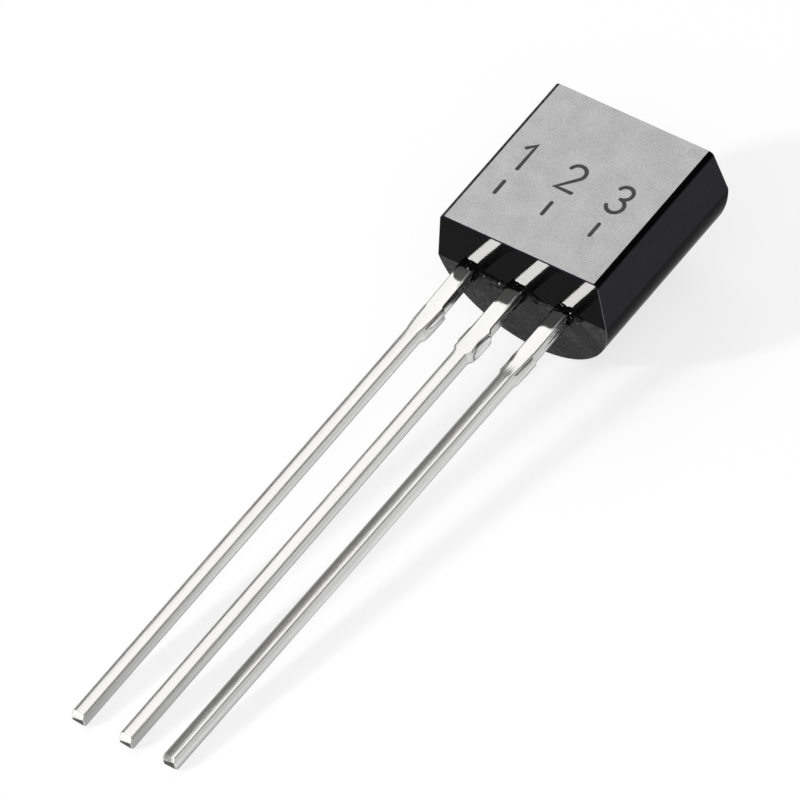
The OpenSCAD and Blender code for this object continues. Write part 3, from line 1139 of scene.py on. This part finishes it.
small_piece("parting_fins_and_shade", "fins", skins["soot_and_shade_resin"], add_fin, FINS_AND_SHADE)
small_piece("resin_stains_and_shade", "stains", skins["stain_and_shade_resin"], add_stain_and_shade, STAINS_AND_SHADE)
small_piece("parting_wisps", "wisps", skins["wisp_resin"], add_fin, WISPS)

# %% Crumbs painted pale, as painted glints
#      x      y      z     radius
CRUMBS = [
    (-0.56, -0.045, 0.02, 0.026), (-1.36, -0.10, 0.135, 0.018), (-0.98, -0.02, 0.00, 0.014),
    (0.05, -0.10, 0.12, 0.014), (1.33, -0.02, 0.07, 0.022), (1.335, -0.46, -0.02, 0.016),
    (1.34, -0.62, -0.14, 0.012), (1.335, -0.36, -0.10, 0.012), (1.46, -0.02, -0.20, 0.012),
    (1.36, -0.06, -0.02, 0.012), (1.33, -0.54, 0.03, 0.018), (1.35, -0.50, -0.22, 0.014),
    (1.34, -0.70, -0.05, 0.014), (0.10, -0.55, -0.05, 0.014),
]


def add_crumb(shape, seed, x, y, z, size):
    """A small lump of resin."""
    made = bmesh.ops.create_icosphere(shape, subdivisions=2, radius=size)
    for vert in made["verts"]:
        way = vert.co.normalized()
        vert.co *= 1 + 0.35 * wander(way.x + way.z, way.y, seed, 0.5)
        vert.co += Vector((x, y, z))


# The crumbs are painted pale so that they stand for glints, painted highlights.
crumbs = [(seed, *row) for seed, row in enumerate(CRUMBS)]
small_piece("resin_crumbs_with_glints", "crumbs", skins["crumb_glint_paint"], add_crumb, crumbs)

# %% [markdown]
# ## Marks of the stamping tool
#
# The sides of the legs carry what the tool left. Near the case they have streaks of dragged resin
# and scratched metal, and on each stub there is the lens-shaped face where the tie bar was cut.
# Both lie on the side of a leg, which leans a little, so one helper works out where that side is
# from the same sizes that made the leg. A streak is a ribbon with a pointed end, a few thousandths
# of a millimetre proud. A cut face is a grey burr with a pale slab on it that stands out a little
# more. The right front edge of each root also has a pale line, a painted highlight.

# %% Where the side of a leg is
SHANK_REACH = 0.175
BURR_TOP = 0.03
BURR_DEPTH = 0.26


def root_rise(sizes, y):
    """How far the root is lifted at a place along it."""
    start, top, _ = ROOT_RISE
    return sizes["Root lift"] * min(max((y - start) / (top - start), 0), 1)


def side_reach(sizes, side, y, z):
    """How far the side of a leg is from its middle, at a place along it and across it."""
    name = "Right" if side > 0 else "Left"
    root = sizes["Root " + name.lower()]
    inside, ramp = sizes["Post start"], -sizes[name + " ramp"]
    stops = [(inside, root, ROOT_BACK), (ramp, root, ROOT_BACK)]
    places = (name + " start", "Stub middle", "Stub end")
    for place, level, closing in zip(places, LEVELS, (1, 1, BURR_CLOSING)):
        front = sizes[name + level]
        back = front + BURR_LEFT if side < 0 else sizes["Right back"] * closing
        stops.append((-sizes[place], front, back))
    stops.append((-sizes["Shank start"], SHANK_REACH, SHANK_REACH))
    for (y1, f1, b1), (y2, f2, b2) in zip(stops, stops[1:]):
        if y1 >= y >= y2:
            share = (y1 - y) / (y1 - y2)
            front, back = f1 + (f2 - f1) * share, b1 + (b2 - b1) * share
            deep = min(max((BURR_TOP - z) / BURR_DEPTH, 0), 1)
            return front + (back - front) * deep
    return SHANK_REACH


def on_side(sizes, side, y, z, proud):
    """A point on the side of a leg, lifted off it a little."""
    x = sizes["Middle"] + side * (side_reach(sizes, side, y, z) + proud)
    return Vector((x, y, z + root_rise(sizes, y)))


stub_reaches = [side_reach(sizes, 1, -sizes["Stub middle"], 0) for sizes in LEGS.values()]
print("the stubs reach", [round(reach, 3) for reach in stub_reaches], "mm to the right")

# %% Streaks on the roots
STREAK_STEPS = 8
STREAK_RELIEF = (-0.002, 0.003)
GLINT_RELIEF = (-0.003, 0.004)
GLINT_INSET = 0.055
# The line on the front edge is a painted highlight.
PAINTED_GLINT = (0.12, 0.55, 0.04)


def ribbon_section(half, foot, top):
    """(offset, height) of the four points across a thin ribbon with sloping edges."""
    return ((half, foot), (0.5 * half, top), (-0.5 * half, top), (-half, foot))


def add_streaks(shape, sizes, count, length, width, seed):
    """Streaks over the height of both sides of a root, pointed at their far ends."""
    for side in (1, -1):
        for k in range(count):
            own = [wander(k, part, seed + side, 0.7) for part in range(4)]
            z = 0.02 - 0.25 * (k + 0.5) / count + 0.02 * own[0]
            own_length = length * (0.75 + 0.6 * own[1])
            start = 0.03 + 0.1 * abs(own[2])
            loops = []
            for share in even_steps(0, 1, STREAK_STEPS):
                y = -start - own_length * share
                half = width * (1 + 0.5 * own[3]) / 2 * (1 - share**3) + 0.001
                section = ribbon_section(half, *STREAK_RELIEF)
                loops.append([on_side(sizes, side, y, z + off, proud) for off, proud in section])
            skin_rows(shape, loops, closed=False)


def add_painted_glint(shape, sizes, start, length, width):
    """A pale line on the right edge of a root's front, a painted highlight."""
    loops = []
    x = sizes["Middle"] + sizes["Root right"] - GLINT_INSET
    for k in range(13):
        y = -start - length * k / 12
        face = LEG_FRONT + root_rise(sizes, y)
        half = width / 2 * (1 + 0.5 * wander(y, x, 3, 0.1)) * math.sin(math.pi * (k + 1) / 14)
        section = ribbon_section(half, *GLINT_RELIEF)
        loops.append([Vector((x - off, y, face + proud)) for off, proud in section])
    skin_rows(shape, loops, closed=False)


def add_scratches(shape, sizes, *streaks):
    """The scratches on the sides of a root and the painted highlight on its front."""
    add_streaks(shape, sizes, *streaks)
    add_painted_glint(shape, sizes, *PAINTED_GLINT)


#              count length width seed
DARK_STREAKS = [(6, 1.10, 0.046, 21), (6, 1.00, 0.046, 22), (6, 1.05, 0.046, 23)]
LIGHT_STREAKS = [(3, 1.05, 0.030, 41), (5, 1.00, 0.030, 42), (5, 0.95, 0.030, 43)]
dark = [(sizes, *row) for sizes, row in zip(LEGS.values(), DARK_STREAKS)]
light = [(sizes, *row) for sizes, row in zip(LEGS.values(), LIGHT_STREAKS)]
small_piece("resin_streaks", "streaks", skins["mirror_resin"], add_streaks, dark, 35)
small_piece("metal_scratches_and_glints", "scratches", scratched_tin_and_glint, add_scratches, light, 35)

# %% The cut faces of the tie bar
CUT_TOP = 0.035


def add_slab(shape, outer, inner):
    """A slab between two outlines."""
    outer, inner = ([shape.verts.new(p) for p in row] for row in (outer, inner))
    shape.faces.new(outer)
    shape.faces.new(list(reversed(inner)))
    for i in range(len(outer)):
        j = (i + 1) % len(outer)
        shape.faces.new((outer[i], inner[i], inner[j], outer[j]))


def add_cuts(shape, inset, proud, sizes, top, low, deep, point):
    """A lens-shaped slab on both sides of a stub. Its point is how far its lower end closes up."""
    high, deep = CUT_TOP - inset, deep + inset
    tall = high - deep
    top, low = top - inset * 1.5, low + inset * 1.5
    far, near = top - 0.10, low + 0.16
    end = deep + (0.07 + 0.75 * point) * tall
    lens = [(top, deep + 0.36 * tall), (top, high - 0.11 * tall), (far, high), (near, high)]
    lens += [(low, high - (0.5 - 0.4 * point) * tall), (low, end)]
    lens += [(near, deep + 0.35 * point * tall), (far, deep)]
    for side in (1, -1):
        outer = [on_side(sizes, side, y, z, proud) for y, z in lens]
        inner = [on_side(sizes, side, y, z, -0.01) for y, z in lens]
        add_slab(shape, outer, inner)


#         top    low    deep  point
CUTS = [(-1.27, -1.92, -0.15, 1.0), (-1.33, -2.00, -0.245, 0.0), (-1.43, -2.05, -0.03, 1.0)]
for name, material, inset, proud in (
    ("stub_burrs", burr_metal, 0.0, 0.010),
    ("stub_cuts", sheared_stub, 0.032, 0.015),
):
    rows = [(inset, proud, sizes, *row) for sizes, row in zip(LEGS.values(), CUTS)]
    small_piece(name, name, material, add_cuts, rows, 20)

# %% [markdown]
# ## Numbers for the legs
#
# A case like this usually carries a laser mark. Here it is a plain one: each leg's number, with a
# short tick towards the leg. A font would bring its own look and a heavy outline, while a laser
# draws thin round-ended strokes. So each digit is a few arcs and lines, and each stroke becomes a
# flat ribbon with round ends, a tenth of a millimetre wide and three thousandths thick.

# %% The strokes of the digits
STROKE = 0.095
MARK_HEIGHT = 0.003
MARK_STEP = 0.0004
DIGIT_FOOT = 2.05
TICK = (1.25, 1.62)
ARC_STEPS = 16
CAP_STEPS = 6


def arc(x, y, radius, start, end):
    """Points on a circle from one angle to another, in degrees."""
    turns = [math.radians(turn) for turn in even_steps(start, end, ARC_STEPS)]
    return [Vector((x + radius * math.cos(t), y + radius * math.sin(t))) for t in turns]


DIGITS = [
    [[Vector((-0.13, 0.60)), Vector((0.04, 0.76)), Vector((0.04, 0.0))]],
    [arc(0.0, 0.55, 0.205, 165, -38) + [Vector((-0.21, 0.0)), Vector((0.22, 0.0))]],
    [arc(0.0, 0.57, 0.185, 160, -90), arc(0.0, 0.18, 0.205, 90, -160)],
]


def ribbon(points, width):
    """The outline of a stroke: both sides and a half circle at each end."""
    ways = [(b - a).normalized() for a, b in zip(points, points[1:])]
    sides = []
    for k, point in enumerate(points):
        before, after = ways[max(k - 1, 0)], ways[min(k, len(ways) - 1)]
        way = (before + after).normalized()
        across = Vector((-way.y, way.x))
        spread = width / 2 / max(across.dot(Vector((-after.y, after.x))), 0.6)
        sides.append((point + across * spread, point - across * spread))
    caps = []
    for point, way in ((points[-1], ways[-1]), (points[0], -ways[0])):
        start = math.atan2(way.y, way.x) + math.pi / 2
        turns = even_steps(start, start - math.pi, CAP_STEPS)[1:-1]
        caps.append([point + way_of(t) * width / 2 for t in turns])
    return [a for a, _ in sides] + caps[0] + [b for _, b in reversed(sides)] + caps[1]


print("strokes of the digits:", [len(strokes) for strokes in DIGITS])

# %% The mark on the flat
laser_mark, shader = new_material("laser_mark")
grain = add_grain(shader, 0.15, 0.03)
paint(shader, grain["Grain"], grey(0.030), grey(0.065), grain["Cloud"], (0.55, 0.7))
add_bump(shader, grain["Grain"], 0.5, 0.003)


def add_number(shape, sizes, strokes):
    """One digit and its tick, each stroke a little lower than the one before."""
    tick = [Vector((0, y - DIGIT_FOOT)) for y in TICK]
    for k, points in enumerate(strokes + [tick]):
        outline = ribbon([p + Vector((sizes["Middle"], DIGIT_FOOT)) for p in points], STROKE)
        top = FRONT_DEPTH + MARK_HEIGHT - MARK_STEP * k
        levels = (top, FRONT_DEPTH - 0.01)
        add_slab(shape, *([(p.x, p.y, z) for p in outline] for z in levels))


small_piece("leg_numbers", "mark", laser_mark, add_number, zip(LEGS.values(), DIGITS), 35)

# %% [markdown]
# ## What is inside the resin
#
# The chip, its solder and the two gold bond wires are real pieces, hidden in the case. Their solid
# shapes are right as they are, so they only get their finishes.

# %% Inside


def fine_finish(name, colour, metallic, roughness):
    """A small even finish with a little cloud in its tone."""
    material, shader = new_material(name)
    grain = add_grain(shader, 0.1, 0.01)
    tones = [(*(part * c for c in colour), 1.0) for part in (0.8, 1.0)]
    paint(shader, grain["Cloud"], *tones, grain["Grain"], roughness, Metallic=metallic)
    return material


silicon = fine_finish("silicon", (0.10, 0.11, 0.13), 0.6, (0.12, 0.2))
solder = fine_finish("solder", (0.50, 0.50, 0.50), 1.0, (0.35, 0.5))
gold = fine_finish("gold", (0.90, 0.62, 0.22), 1.0, (0.18, 0.28))
INSIDE = {"die": silicon, "die_attach": solder, "bond_wire_base": gold, "bond_wire_emitter": gold}
for name, material in INSIDE.items():
    for material_slot in frame["nodes"][name].material_slots:
        material_slot.material = material
print("inside:", ", ".join(INSIDE))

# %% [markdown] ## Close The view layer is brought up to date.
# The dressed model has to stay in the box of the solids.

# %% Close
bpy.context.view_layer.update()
